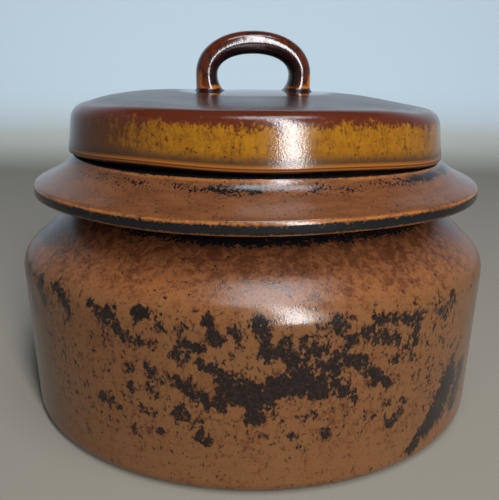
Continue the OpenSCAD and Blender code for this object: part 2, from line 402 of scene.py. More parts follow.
# %% Set the handle's sizes and sweep it
HANDLE_SPAN, HANDLE_RISE, LEG_H, ARCH_POWER = 50.8, 24.9, 8.8, 2.15
STRAP_T, LEG_T, STRAP_W, LEG_W, STRAP_POWER = 11.9, 11.6, 15.5, 17.0, 2.3
HANDLE_ASIDE = -0.3
FLARE_IN, FLARE_SIDE, FLARE_H = 3.6, 2.0, 8.0
SMEAR, SMEAR_H, BEDDED = 1.1, 1.8, 2.0
STRAP_SIDES, ARCH_STEPS, LEG_STEPS, LEG_CROWDING = 72, 64, 22, 1.6

leg_x = HANDLE_SPAN / 2
leg_root_z = crown_z(leg_x) + CROWN_UP
spring_z = leg_root_z + LEG_H
arch_z = crown_z(0) + CROWN_UP + HANDLE_RISE


def signed_power(value, power):
    """A power that keeps the value's sign."""
    return math.copysign(abs(value) ** power, value)


def strap_ring(at, out, thick, wide):
    """One ring of the strap round a point of its middle line."""
    ring = []
    for i in range(STRAP_SIDES):
        a = 2 * math.pi * i / STRAP_SIDES
        u = thick / 2 * signed_power(math.cos(a), 2 / STRAP_POWER)
        v = wide / 2 * signed_power(math.sin(a), 2 / STRAP_POWER)
        ring.append([at[0] + out[0] * u, v, at[1] + out[1] * u])
    return ring


def leg_ring(side, h):
    """One ring of a leg at a height above the crown, with the clay smeared out at its foot."""
    flare = max(0.0, 1 - max(h, 0) / FLARE_H) ** 2
    smear = SMEAR * max(0.0, 1 - max(h, 0) / SMEAR_H) ** 2
    spread = FLARE_IN * flare
    thick = LEG_T + spread + 2 * smear
    wide = LEG_W + 2 * FLARE_SIDE * flare + 2 * smear
    return strap_ring([side * (leg_x - spread / 2), leg_root_z + h], [side, 0], thick, wide)


def arch_ring(a):
    """One ring of the arch at an angle from its right spring."""
    along, up = math.cos(a), math.sin(a)
    at = [leg_x * signed_power(along, 2 / ARCH_POWER),
          spring_z + (arch_z - spring_z) * abs(up) ** (2 / ARCH_POWER)]
    out = unit(np.array([signed_power(along, 2 - 2 / ARCH_POWER) / leg_x,
                         abs(up) ** (2 - 2 / ARCH_POWER) / (arch_z - spring_z)]))
    share = up * up
    return strap_ring(at, out, LEG_T + (STRAP_T - LEG_T) * share, LEG_W + (STRAP_W - LEG_W) * share)


leg_heights = [-BEDDED] + [LEG_H * (i / LEG_STEPS) ** LEG_CROWDING for i in range(LEG_STEPS)]
arch_angles = [math.pi * i / (2 * ARCH_STEPS) for i in range(2 * ARCH_STEPS + 1)]
rings = [leg_ring(1, h) for h in leg_heights]
rings += [arch_ring(a) for a in arch_angles]
rings += [leg_ring(-1, h) for h in reversed(leg_heights)]
handle_faces = [tuple(range(STRAP_SIDES))]
for j in range(len(rings) - 1):
    low, high = j * STRAP_SIDES, (j + 1) * STRAP_SIDES
    for i in range(STRAP_SIDES):
        k = (i + 1) % STRAP_SIDES
        handle_faces.append((low + i, high + i, high + k, low + k))
last_ring = (len(rings) - 1) * STRAP_SIDES
handle_faces.append(tuple(last_ring + i for i in reversed(range(STRAP_SIDES))))
handle_points = np.array(rings).reshape(-1, 3)
handle_made = handle_points.copy()
aside(handle_made, HANDLE_ASIDE)
handle = mesh_piece("lid_handle", handle_made, handle_faces)
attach(handle, "root")

# %% [markdown]
# ## Building glazes from nodes
# A glaze is not one colour. Its colour follows how thick it lies, and the kiln adds patches,
# streaks and specks at several sizes. Noise textures in the object's own coordinates give these
# at real sizes in millimetres, and they have no seam. A small class keeps the nodes readable:
# each of its calls adds a node and gives back the socket that the next call uses. Blender's Mix
# node has a set of sockets for each kind of value, so its colour sockets go by their numbers.

# %% A class that builds a glaze
MIX_SHARE, MIX_A, MIX_B, MIX_RESULT = 0, 6, 7, 2
DOT_CORE = 0.6


class Glaze:
    """A material whose colour, gloss and skin are built from nodes."""

    def __init__(self, name):
        self.material = bpy.data.materials.new(name)
        self.material.use_nodes = True
        self.tree = self.material.node_tree
        self.tree.nodes.clear()
        self.shader = self.add("BsdfPrincipled")
        self.add("OutputMaterial", {0: self.shader.outputs[0]})
        self.place = self.add("TexCoord").outputs["Object"]

    def add(self, kind, inputs=None, **settings):
        """A shader node with its settings, and with each given input set or linked."""
        made = self.tree.nodes.new("ShaderNode" + kind)
        for name, value in settings.items():
            setattr(made, name, value)
        for name, value in (inputs or {}).items():
            if isinstance(value, bpy.types.NodeSocket):
                self.tree.links.new(value, made.inputs[name])
            else:
                made.inputs[name].default_value = value
        return made

    def cells(self, size, stretch=(1, 1, 1)):
        """The object's coordinates, counted in cells of that many millimetres."""
        per_cell = [1 / (size * MM * s) for s in stretch]
        return self.add("VectorMath", {0: self.place, 1: per_cell}, operation="MULTIPLY").outputs[0]

    def noise(self, size, detail=3.0, rough=0.6, stretch=(1, 1, 1), warp=0.0):
        """Soft noise from 0 to 1 whose patches are about that many millimetres across."""
        return self.add("TexNoise", {"Vector": self.cells(size, stretch), "Scale": 1.0, "Detail": detail,
                                     "Roughness": rough, "Distortion": warp}).outputs[0]

    def dots(self, size, share):
        """Round dots strewn about that far apart, each covering a share of its cell's width."""
        near = self.add("TexVoronoi", {"Vector": self.cells(size), "Scale": 1.0}).outputs["Distance"]
        return self.step(near, share, DOT_CORE * share)

    def painted(self, name):
        """A value that was painted on the mesh's points."""
        return self.add("Attribute", attribute_name=name).outputs["Fac"]

    def maths(self, operation, a, b):
        """One sum of Blender's Math node, from values or sockets."""
        return self.add("Math", {0: a, 1: b}, operation=operation).outputs[0]

    def times(self, a, b):
        return self.maths("MULTIPLY", a, b)

    def plus(self, a, b):
        return self.maths("ADD", a, b)

    def blend(self, *parts):
        """The sum of several values, each with its share."""
        total = self.times(*parts[0])
        for part in parts[1:]:
            total = self.plus(total, self.times(*part))
        return total

    def wander(self, value, noise, reach):
        """A value pushed up or down by a noise, by about a tenth of the reach."""
        return self.plus(value, self.times(self.plus(noise, -0.5), reach))

    def step(self, value, low, high, out_low=0.0, out_high=1.0):
        """A soft step as the value goes from low to high."""
        return self.add("MapRange", {"Value": value, "From Min": low, "From Max": high, "To Min": out_low,
                                     "To Max": out_high}, interpolation_type="SMOOTHSTEP").outputs[0]

    def mix(self, share, a, b):
        """Colour a, turning into colour b by a share from 0 to 1."""
        made = self.add("Mix", data_type="RGBA")
        for place, value in ((MIX_SHARE, share), (MIX_A, a), (MIX_B, b)):
            if isinstance(value, bpy.types.NodeSocket):
                self.tree.links.new(value, made.inputs[place])
            else:
                made.inputs[place].default_value = (*value, 1) if isinstance(value, tuple) else value
        return made.outputs[MIX_RESULT]

    def coat(self, colour, rough, skin, depth):
        """Gives the shader its colour, its roughness and a skin that many millimetres deep."""
        bump = self.add("Bump", {"Height": skin, "Strength": 1.0, "Distance": depth * MM})
        self.tree.links.new(colour, self.shader.inputs["Base Color"])
        self.tree.links.new(rough, self.shader.inputs["Roughness"])
        self.tree.links.new(bump.outputs[0], self.shader.inputs["Normal"])
        return self.material


def paint(piece, name, values):
    """Writes a value for each point of a piece, for its glaze to read."""
    attribute = piece.data.attributes.new(name, "FLOAT", "POINT")
    attribute.data.foreach_set("value", np.asarray(values, np.float32))


# %% [markdown]
# ## Where the dark flecks lie
# A splash of iron-rich slip burned to black-brown flecks on the wall. Each entry below is one dab
# of a loaded brush: where it starts and ends, as degrees from the front and height in
# millimetres, then half of its width and how densely it covers. The noise in the glaze tears
# the dabs into ragged flecks. The back, which nobody has seen, gets dabs by seeded chance, and a
# thin sprinkle lies over the whole wall.

# %% Dab the dark slip on the wall
DABS = [
    (-62, 84, -57, 66, 5, 0.95), (-52, 82, -50, 74, 4, 1.1), (-45, 84, -43, 81, 2.4, 1.0),
    (-42, 81, -40, 75, 2.2, 1.15), (-34, 83, -31, 79, 2.2, 1.1), (-29, 80, -27, 74, 3.2, 1.35),
    (-22, 82.5, -21, 82.5, 2.6, 1.5), (-26, 73, -23, 68, 2.4, 0.95), (-17.5, 82, -17, 76, 1.8, 0.9),
    (-13, 80, -12, 78, 1.6, 0.8), (-8, 82, -6.5, 74, 3.0, 1.25), (-13, 72, -10, 70, 2.8, 1.25),
    (-30, 68, -30, 66, 1.8, 0.95), (-22, 71, -21.5, 69, 1.8, 0.95), (-19, 71, -19, 69, 1.6, 0.9),
    (-24, 58, -24, 56, 1.8, 0.95), (-20.5, 59, -19.5, 57, 2.0, 1.0), (-18, 55, -17.5, 53, 1.8, 0.95),
    (-21, 48, -19, 46, 2.2, 1.05), (-24.5, 48, -24, 46, 1.8, 0.95), (-32, 39, -31.5, 37, 1.8, 0.95),
    (-29, 38, -28.5, 36, 1.8, 0.9), (-22, 39, -21, 37, 2.0, 0.95), (-20, 36, -19.5, 34, 2.0, 0.95),
    (-24, 28, -24, 26, 1.8, 0.9), (-18, 29, -17.5, 27, 1.8, 0.9), (-14, 66, -13, 64, 2.2, 1.05),
    (-9, 63, -6.5, 61, 2.6, 1.1), (-14.5, 54, -12, 52, 2.8, 1.15), (-12, 49, -9, 47, 3.0, 1.15),
    (-9, 46, -6, 44, 3.2, 1.15), (-14.5, 40, -13, 38, 2.4, 1.05), (-11, 35, -10, 31, 2.2, 1.05),
    (-10, 28, -9, 25, 2.4, 1.1), (-3, 79, -2, 72, 2.6, 0.9), (-6, 59, -3, 48, 4.0, 1.15),
    (-4, 52, 3, 50, 8.0, 1.4), (0, 47, 1, 38, 4.0, 1.3), (4, 54, 9, 53, 7.0, 1.35),
    (9, 58, 13, 51, 7.5, 1.38), (1.5, 82, 3.5, 68, 4.2, 1.15), (6, 72, 8.5, 60, 4.6, 1.15),
    (10, 74, 15, 60, 5.4, 1.02), (16, 80, 18.5, 71, 3.4, 1.1), (17, 66, 22, 60, 5.2, 1.15),
    (16, 58, 18, 48, 5.0, 1.06), (20, 47, 20.5, 45, 2.2, 1.0), (13, 80, 16, 76, 2.6, 0.9),
    (21, 76, 29, 68, 4.0, 0.98), (24, 80, 29, 79, 2.6, 1.1), (23.5, 51, 24.5, 49, 2.2, 1.0),
    (27.5, 50, 28.5, 48, 2.4, 1.05), (22, 58, 26, 54, 3.0, 0.95), (31, 79, 33, 76, 2.8, 1.1),
    (35, 78, 34, 66, 2.8, 0.92), (38, 80, 42, 76, 2.0, 0.85), (34, 64, 30, 60, 2.6, 0.9),
    (46, 82, 44, 72, 2.6, 0.85), (52, 50, 50, 46, 2.4, 1.0), (50, 37, 46, 22, 11, 1.35),
    (57, 36, 54, 20, 8, 1.15), (46, 24, 42, 16, 7, 1.25), (40, 15, 37, 8, 3.4, 1.1),
    (33, 38, 31, 28, 2.2, 0.8), (29, 29, 29, 26, 2.2, 1.0), (15, 31, 15, 29, 2.0, 0.95),
    (12, 40, 12, 38, 1.8, 0.95), (8, 32, 8, 30, 1.8, 0.95), (66, 74, 72, 58, 4, 0.85)]
DAB_CORE, DAB_EDGE, DAB_FRAY = 0.2, 0.9, 3.0
WALL_R = 126.0


def dabbed(angles, heights_mm, dabs):
    """How densely the dabs cover each point of the wall, as the densest dab there."""
    along = np.radians(angles) * WALL_R
    cover = np.zeros(len(angles))
    for a0, z0, a1, z1, half, strength in dabs:
        start = np.array([math.radians(a0) * WALL_R, z0])
        way = np.array([math.radians(a1) * WALL_R, z1]) - start
        share = ((along - start[0]) * way[0] + (heights_mm - start[1]) * way[1]) / (way @ way)
        share = np.clip(share, 0, 1)
        gap = np.hypot(along - start[0] - share * way[0], heights_mm - start[1] - share * way[1])
        fade = smooth(DAB_CORE * half, DAB_EDGE * half + DAB_FRAY, gap)
        cover = np.maximum(cover, strength * (1 - fade))
    return cover


# %% Dab the back by chance and paint the cover on the bowl
FAR_DABS, FAR_SEED = 60, 7
FAR_AZIMUTHS, FAR_HEIGHTS = (88, 300), (18, 82)
FAR_LEANS, FAR_DROPS = (-8, 8), (2, 12)
FAR_HALVES, FAR_SWELL, FAR_SWELL_POWER = (1.6, 3.2), 5, 4
FAR_COVERS = (0.7, 1.1)
SPRINKLE, STRAY = 0.26, 0.04
SPRINKLE_STARTS, SPRINKLE_ENDS = (10, 36), (80, 90)
WALL_INNER_R = NECK_R + 1

chance = np.random.default_rng(FAR_SEED)
far_dabs = []
for _ in range(FAR_DABS):
    start, start_z = chance.uniform(*FAR_AZIMUTHS), chance.uniform(*FAR_HEIGHTS)
    lean, drop = chance.uniform(*FAR_LEANS), chance.uniform(*FAR_DROPS)
    half = chance.uniform(*FAR_HALVES) + FAR_SWELL * chance.random() ** FAR_SWELL_POWER
    cover = chance.uniform(*FAR_COVERS)
    far_dabs.append((start, start_z, start + lean, start_z - drop, half, cover))

outside = outline_index(bowl_line) <= max(i for i, p in enumerate(bowl_line) if p[1] > rim_z - TOUCH)
on_wall = outside & (radius > WALL_INNER_R) & (height < neck_low_z)
flecks = np.maximum(dabbed(angle, height, DABS), dabbed(angle % 360, height, far_dabs))
sprinkle = SPRINKLE * smooth(*SPRINKLE_STARTS, height) * (1 - smooth(*SPRINKLE_ENDS, height))
flecks = np.maximum(flecks, sprinkle + STRAY)
paint(bowl, "flecks", np.where(on_wall, flecks, 0))
print("dabs:", len(DABS), "seen and", len(far_dabs), "at the back")

# %% [markdown]
# ## Where the glaze is thick and where it is thin
# Molten glaze runs off edges and gathers in hollows. It is thin and orange along the brim's two
# breaks and the rim, and thick and black on the brim's edge and in the hollow under the rim. At
# the top of the shoulder, under the brim, the black is pooled glaze and painted shade of the brim.
# A black line of painted shade lies on the rim's outer top, in the gap under the lid's foot. Each
# place is a soft band in height, and the pools are heavier at some angles than at others. A band
# is written as its low end, its high end and its softness, in millimetres from the edge it
# belongs to. A spot is written as its angle from the front, half of its width in degrees and its
# strength.

# %% Soft bands and spots
SPOT_CORE = 0.4


def band(value, place, low, high, soft):
    """1 where the value lies between low and high from a place, with soft ends."""
    low, high = place + low, place + high
    return smooth(low - soft, low + soft, value) * (1 - smooth(high - soft, high + soft, value))


def strongest(angles, spots):
    """The largest of several soft spots (angle, half width, strength) round the pot."""
    value = np.zeros(len(angles))
    for at, half, strength in spots:
        value = np.maximum(value, strength * (1 - smooth(SPOT_CORE * half, half, angle_gap(angles, at))))
    return value


# %% Paint the pools, the painted shade and the thin edges
HOLLOW_POOLS = [(-4, 12, 1.0), (-18, 26, 0.5), (-42, 22, 0.45), (10, 24, 0.6), (34, 26, 0.55),
                (58, 26, 1.0), (80, 20, 0.8), (140, 50, 0.6), (200, 40, 0.9), (250, 40, 0.5)]
SHOULDER_POOLS_AND_SHADE = [(-25, 22, 0.7), (0, 36, 1.0), (35, 30, 0.85), (120, 60, 0.7), (200, 50, 0.9)]

EDGE_INNER_R, EDGE_LOW_Z, EDGE_HIGH_Z = BRIM_R - 4, brim_low_z - 1, brim_top_z + 2
EDGE_POOL, EDGE_BAND = 1.45, (1.5, BRIM_EDGE - 1.5, 0.8)
HOLLOW_BAND, HOLLOW_END_R = (-2.2, 1.6, 1.6), 109
# The neck pool under the brim is pooled glaze and painted shade of the brim.
NECK_POOL_AND_SHADE, NECK_STARTS = 1.3, (neck_low_z - 5.2, neck_low_z - 1.6)
NECK_HIGH_Z = brim_low_z - 0.5
# The seam is a black line of painted shade on the rim's outer top, in the gap under the lid's foot.
SEAM_SHADE, SEAM_STARTS, SEAM_W = 2.0, (rim_z - 1.3, rim_z - 0.9), 2.5
TOP_BREAK, LOW_BREAK = (-1.0, -0.1, 0.35), (-0.4, 1.1, 0.3)
RIM_THIN, RIM_BREAK = 0.75, (-2.3, -1.2, 0.4)

at_brim_edge = outside & (radius > EDGE_INNER_R) & (height > EDGE_LOW_Z) & (height < EDGE_HIGH_Z)
edge_pool = EDGE_POOL * at_brim_edge * band(height, brim_low_z, *EDGE_BAND)
hollow_pool = outside * band(height, rim_foot[1], *HOLLOW_BAND) * (radius < HOLLOW_END_R)
hollow_pool = hollow_pool * strongest(angle, HOLLOW_POOLS)
# Painted shade: the top of the shoulder under the brim is laid black, along with its pooled glaze.
neck_pool_and_shade = NECK_POOL_AND_SHADE * outside * smooth(*NECK_STARTS, height) * (height < NECK_HIGH_Z)
neck_pool_and_shade = neck_pool_and_shade * strongest(angle, SHOULDER_POOLS_AND_SHADE)
# Painted shade: the rim's outer top under the lid's foot is laid black like a pool.
seam_shade = outside * smooth(*SEAM_STARTS, height) * (radius > RIM_R - SEAM_W)
paint(bowl, "pools_and_shade", np.maximum.reduce([edge_pool, hollow_pool, neck_pool_and_shade, SEAM_SHADE * seam_shade]))

top_break = at_brim_edge * band(height, brim_top_z, *TOP_BREAK)
low_break = at_brim_edge * band(height, brim_low_z, *LOW_BREAK)
rim_break = RIM_THIN * band(height, rim_z, *RIM_BREAK)
paint(bowl, "thin", np.maximum.reduce([top_break, low_break, rim_break]))

# %% Paint where the glaze changes its kind, and the painted shade under the brim
SHADE_STARTS, RED_STARTS, DUSTY_STARTS = (90, 106), (84, 92), (82, 90)
CALM_STARTS, BARE_ENDS = (brim_low_z - 3, brim_low_z), (0.5, 1.6)
SLOPE_HIGH_Z = brim_low_z - 1

below_brim = outside * (height < SLOPE_HIGH_Z)
paint(bowl, "calm", outside * smooth(*CALM_STARTS, height))
# The shade field darkens the shoulder towards the brim as painted shade, and makes it redder.
paint(bowl, "shade", below_brim * smooth(*SHADE_STARTS, height))
paint(bowl, "red", below_brim * smooth(*RED_STARTS, height))
paint(bowl, "dusty", below_brim * smooth(*DUSTY_STARTS, height))
paint(bowl, "lining", ~outside)
paint(bowl, "bare", outside * (1 - smooth(*BARE_ENDS, height)))
print("painted on the bowl:", sorted(a.name for a in bowl.data.attributes if a.data_type == "FLOAT"))

# %% [markdown]
# ## The bowl's rust glaze
# The ground is a rust glaze that breaks between ochre and oxblood in small patches, calmer on the
# brim, and redder and darker towards the neck; the darkening under the brim is painted shade. The
# flecks and pools are black-brown, and some of the black is painted shade. Their edges come from
# noise: a point is dark where the noise is above a limit, and the painted cover lowers that
# limit. A fine bump makes the pitted skin that breaks a highlight into sparks. Colours are
# written as red, green and blue shares of light. A step is written as where it starts and ends.

# %% Name the colours of the rust glaze
OCHRE = (0.131, 0.055, 0.019)
RUST = (0.118, 0.043, 0.015)
SLOPE_RUST = (0.172, 0.062, 0.021)
OXBLOOD = (0.075, 0.023, 0.009)
# Redder and darker under the brim: the darkening is painted shade.
NECK_RED_AND_SHADE = (0.050, 0.015, 0.007)
BRIM_BROWN = (0.120, 0.042, 0.016)
BRIM_STREAK = (0.085, 0.028, 0.011)
SPECK_BROWN = (0.030, 0.012, 0.008)
FLECK_BLACK = (0.0080, 0.0050, 0.0040)
FLECK_BROWN = (0.018, 0.0098, 0.0070)
FRINGE_BROWN = (0.045, 0.018, 0.008)
POOL_AND_SHADE_BLACK = (0.0045, 0.0046, 0.0056)
EDGE_ORANGE = (0.26, 0.092, 0.018)
BARE_CLAY = (0.42, 0.30, 0.20)
LINING_BROWN = (0.11, 0.042, 0.017)

# %% The ground of the rust glaze
RED_PULL = -0.055


def rust_ground(glaze, mottle, freckle):
    """The colour of the rust glaze where nothing dark lies on it, with painted shade under the brim."""
    patches = glaze.noise(19, 4)
    around = glaze.noise(2.6, 4, 0.66, stretch=(6, 6, 0.8))
    broken = glaze.blend((mottle, 0.45), (patches, 0.25), (freckle, 0.3))
    red = glaze.painted("red")
    broken = glaze.plus(broken, glaze.times(red, RED_PULL))
    colour = glaze.mix(glaze.step(broken, 0.34, 0.47), OXBLOOD, RUST)
    ground = glaze.mix(red, OCHRE, SLOPE_RUST)
    colour = glaze.mix(glaze.step(broken, 0.40, 0.54), colour, ground)
    brim = glaze.mix(glaze.step(around, 0.36, 0.62), BRIM_STREAK, BRIM_BROWN)
    specks = glaze.step(glaze.noise(1.2, 2, 0.6, stretch=(1.5, 1.5, 0.8)), 0.62, 0.68, 0.0, 0.85)
    brim = glaze.mix(specks, brim, SPECK_BROWN)
    colour = glaze.mix(glaze.times(glaze.painted("calm"), 0.8), colour, brim)
    # Painted shade: the shoulder under the brim turns a darker red.
    redder_and_shaded = glaze.times(glaze.painted("shade"), glaze.step(mottle, 0.36, 0.62, 1.0, 0.45))
    colour = glaze.mix(redder_and_shaded, colour, NECK_RED_AND_SHADE)
    colour = glaze.mix(glaze.painted("lining"), colour, LINING_BROWN)
    worn = glaze.step(glaze.blend((freckle, 0.5), (around, 0.5)), 0.38, 0.56)
    return glaze.mix(glaze.times(glaze.painted("thin"), worn), colour, EDGE_ORANGE)


# %% Dark glaze that a noise tears
TORN_LIMIT, COVER_PULL = -0.645, 0.20
FRINGE_STEP, FRINGE_SHARE, DARK_STEP = (-0.075, 0.005), 0.8, (-0.016, 0.026)


def torn(glaze, colour, cover, noise, fringe, black):
    """Lays dark glaze over a colour where a painted cover, torn by a noise, is thick enough."""
    depth = glaze.plus(noise, glaze.plus(glaze.times(cover, COVER_PULL), TORN_LIMIT))
    colour = glaze.mix(glaze.step(depth, *FRINGE_STEP, 0.0, FRINGE_SHARE), colour, fringe)
    dark = glaze.step(depth, *DARK_STEP)
    return glaze.mix(dark, colour, black), dark


# %% Make the rust glaze
RUST_IOR, SKIN_DEPTH = 1.4, 0.11
POOL_GLOSS, DUSTY_ROUGH, BARE_ROUGH = -0.03, 0.06, 0.5
PITS, DUSTY_PITS = 0.45, 0.25


def rust_glaze():
    """The bowl's glaze: the ground, pin holes, torn flecks, pools and painted shade, and the bare foot.
    """
    glaze = Glaze("rust_glaze")
    mottle = glaze.noise(4.2, 5, 0.62, warp=0.5)
    freckle = glaze.noise(1.5, 3, 0.65)
    colour = rust_ground(glaze, mottle, freckle)
    pin = glaze.times(glaze.dots(2.6, 0.17), glaze.step(glaze.noise(9, 2), 0.48, 0.60))
    colour = glaze.mix(glaze.times(pin, 0.85), colour, SPECK_BROWN)
    ragged = glaze.blend((glaze.noise(3.6, 4, 0.60, stretch=(1, 1, 1.25), warp=0.4), 0.56),
                         (glaze.noise(1.4, 3, 0.60, stretch=(1, 1, 1.4)), 0.44))
    slip = glaze.mix(glaze.step(freckle, 0.45, 0.65), FLECK_BLACK, FLECK_BROWN)
    colour, flecks = torn(glaze, colour, glaze.painted("flecks"), ragged, FRINGE_BROWN, slip)
    dashed = glaze.blend((glaze.noise(3.0, 4, 0.64, stretch=(2.8, 2.8, 1)), 0.4),
                         (glaze.noise(1.2, 3), 0.6))
    colour, pools_and_shade = torn(glaze, colour, glaze.painted("pools_and_shade"), dashed, FRINGE_BROWN, POOL_AND_SHADE_BLACK)
    bare, dusty = glaze.painted("bare"), glaze.painted("dusty")
    colour = glaze.mix(bare, colour, BARE_CLAY)
    rough = glaze.plus(glaze.step(mottle, 0.35, 0.65, 0.15, 0.21), glaze.times(pools_and_shade, POOL_GLOSS))
    rough = glaze.plus(rough, glaze.times(dusty, DUSTY_ROUGH))
    rough = glaze.plus(rough, glaze.times(bare, BARE_ROUGH))
    pitted = glaze.times(glaze.noise(1.0, 2), glaze.plus(glaze.times(dusty, DUSTY_PITS), PITS))
    skin = glaze.blend((mottle, 0.5), (pitted, 1.0), (freckle, 0.20), (pin, -0.25), (flecks, -0.1))
    glaze.shader.inputs["IOR"].default_value = RUST_IOR
    return glaze.coat(colour, rough, skin, SKIN_DEPTH)


bowl.data.materials.append(rust_glaze())
print("rust glaze:", len(bowl.data.materials[0].node_tree.nodes), "nodes")

# %% [markdown]
# ## The lid's amber glaze
# On the lid the glaze is glossier and runnier. It lies dark on the crown, runs over the turn as an
# oxblood veil that breaks into specks, and leaves the wall amber, with a dark grainy line above
# the foot. A brown veil darkens the wall, most on the left, where it is partly painted shade, and
# a black line of painted shade lies under the foot. Height tells the glaze where it is, and noise
# stretched down the wall makes it run.

# %% Paint the lid
FOOT_BAND, LINE_BAND = (0.8, 2.8, 0.4), (1.35, 2.0, 0.2)
# The brown veil is heaviest on the left, where it is partly painted shade of the dim side.
VEIL_AND_SHADE_SPOTS = [(-76, 60, 1.3), (120, 50, 0.8), (180, 40, 0.5)]
GLASSY_ENDS = (36, 46)
foot_low = seat_z + FOOT_RAISE
# The seam is painted shade: the foot's underside is laid black where it meets the rim.
LID_SEAM_TOP, LID_SEAM_ENDS = foot_low + 0.9, (foot_low + 0.2, foot_low + 0.7)

lid_outside = outline_index(lid_line) >= max(i for i, p in enumerate(lid_line) if p[1] < seat_z + TOUCH)
lid_seam_shade = (lid_height < LID_SEAM_TOP) * (1 - smooth(*LID_SEAM_ENDS, lid_height))
paint(lid, "up", lid_height)
paint(lid, "foot", lid_outside * band(lid_height, foot_low, *FOOT_BAND))
paint(lid, "line", lid_outside * band(lid_height, foot_low, *LINE_BAND))
paint(lid, "seam_shade", lid_seam_shade)
paint(lid, "veil_and_shade", lid_outside * strongest(from_front(lid_points), VEIL_AND_SHADE_SPOTS))
paint(lid, "glassy", lid_outside * (1 - smooth(*GLASSY_ENDS, lid_radius)))
paint(lid, "lining", ~lid_outside)
print("painted on the lid:", sorted(a.name for a in lid.data.attributes if a.data_type == "FLOAT"))

# %% Name the colours of the amber glaze
AMBER = (0.165, 0.062, 0.004)
HONEY = (0.235, 0.098, 0.005)
VEIL_AND_SHADE_BROWN = (0.064, 0.020, 0.004)
LID_OXBLOOD = (0.060, 0.012, 0.005)
CROWN_BROWN = (0.027, 0.009, 0.008)
GRAIN_BROWN = (0.036, 0.018, 0.009)
FOOT_AMBER = (0.24, 0.078, 0.008)
SEAM_SHADE_BLACK = (0.004, 0.002, 0.001)

# %% Make the amber glaze
AMBER_IOR, VEIL_AND_SHADE_PULL = 1.43, 0.16
VEIL_STEP = (turn_z - 7.0, turn_z - 3.2)
CROWN_STEP = (turn_z - 0.2, turn_z + 2.6)
GRAIN_STEP, GRAIN_SHARE = (seat_z + 9.0, seat_z + 4.5), 0.9
CROWN_ROUGH, GLASSY_GLOSS, GRAIN_ROUGH, GLASSY_SKIN = 0.10, -0.18, 0.06, 0.15


def amber_glaze():
    """The lid's glaze: amber runs, brown veil and painted shade, oxblood turn, dark crown and grainy
    foot.
    """
    glaze = Glaze("amber_glaze")
    up = glaze.painted("up")
    mottle = glaze.noise(5.0, 4, 0.62)
    runs = glaze.noise(2.4, 4, 0.66, stretch=(1, 1, 2.6))
    specks = glaze.noise(1.1, 3, 0.62, stretch=(1, 1, 1.4))
    patches = glaze.noise(24, 3)
    warm = glaze.blend((runs, 0.5), (patches, 0.5))
    colour = glaze.mix(glaze.step(warm, 0.38, 0.62), AMBER, HONEY)
    brown = glaze.blend((mottle, 0.35), (runs, 0.35), (specks, 0.30))
    brown = glaze.plus(brown, glaze.times(glaze.painted("veil_and_shade"), VEIL_AND_SHADE_PULL))
    colour = glaze.mix(glaze.step(brown, 0.44, 0.68), colour, VEIL_AND_SHADE_BROWN)
    spots = glaze.noise(2.2, 3, 0.55)
    colour = glaze.mix(glaze.step(spots, 0.63, 0.69, 0.0, 0.85), colour, LID_OXBLOOD)
    cover = glaze.wander(glaze.wander(up, mottle, 9), runs, 7)
    cover = glaze.step(glaze.wander(cover, specks, 9), *VEIL_STEP)
    colour = glaze.mix(cover, colour, LID_OXBLOOD)
    crown = glaze.step(glaze.wander(up, mottle, 4), *CROWN_STEP)
    colour = glaze.mix(crown, colour, CROWN_BROWN)
    grain = glaze.step(glaze.wander(glaze.wander(up, mottle, 5), specks, 5), *GRAIN_STEP)
    colour = glaze.mix(glaze.times(grain, GRAIN_SHARE), colour, GRAIN_BROWN)
    colour = glaze.mix(glaze.painted("foot"), colour, FOOT_AMBER)
    colour = glaze.mix(glaze.painted("line"), colour, LID_OXBLOOD)
    # Painted shade at the seam under the foot.
    colour = glaze.mix(glaze.painted("seam_shade"), colour, SEAM_SHADE_BLACK)
    colour = glaze.mix(glaze.painted("lining"), colour, LINING_BROWN)
    rough = glaze.step(patches, 0.3, 0.7, 0.12, 0.16)
    glassy = glaze.painted("glassy")
    rough = glaze.plus(rough, glaze.times(crown, CROWN_ROUGH))
    rough = glaze.plus(rough, glaze.times(glassy, GLASSY_GLOSS))
    rough = glaze.plus(rough, glaze.times(grain, GRAIN_ROUGH))
    skin = glaze.blend((mottle, 0.3), (specks, 0.30), (glaze.noise(0.9, 2), 0.50))
    skin = glaze.times(skin, glaze.step(glassy, 0, 1, 1.0, GLASSY_SKIN))
    glaze.shader.inputs["IOR"].default_value = AMBER_IOR
    return glaze.coat(colour, rough, skin, SKIN_DEPTH)


lid.data.materials.append(amber_glaze())
print("amber glaze:", len(lid.data.materials[0].node_tree.nodes), "nodes")

# %% [markdown]
# ## The handle's glaze
# The same glaze lies thick on the handle, so it is oxblood on top. The inside of the arch is
# painted almost black as shade. It thins to amber on the outside of the legs, and a dark line round
# the feet is pooled glaze and painted shade.

# %% Paint the handle
LEG_ENDS, LEG_FACE = (4, 17), (0.15, 0.85)
FEET_THIN, FEET_ENDS, FEET_STARTS = 0.75, (1.5, 4.8), (0.6, 2.4)
INNER_FACE, ROOT_ENDS = (-0.7, 0.3), (0.4, 2.0)

above_crown = handle_points[:, 2] - leg_root_z
outer_face = np.tile(np.cos(np.arange(STRAP_SIDES) * 2 * math.pi / STRAP_SIDES), len(rings))
amber_legs = (1 - smooth(*LEG_ENDS, above_crown)) * smooth(*LEG_FACE, outer_face)
amber_feet = FEET_THIN * (1 - smooth(*FEET_ENDS, above_crown))
# Painted shade: the inner faces of the strap and legs go almost black.
shaded_inside = 1 - smooth(*INNER_FACE, outer_face)
paint(handle, "thin", np.maximum(amber_legs, amber_feet) * smooth(*FEET_STARTS, above_crown))
# The thick field holds that painted shade inside the arch, and pooled glaze with painted shade at the
# roots.
paint(handle, "thick", shaded_inside + (1 - smooth(*ROOT_ENDS, above_crown)))

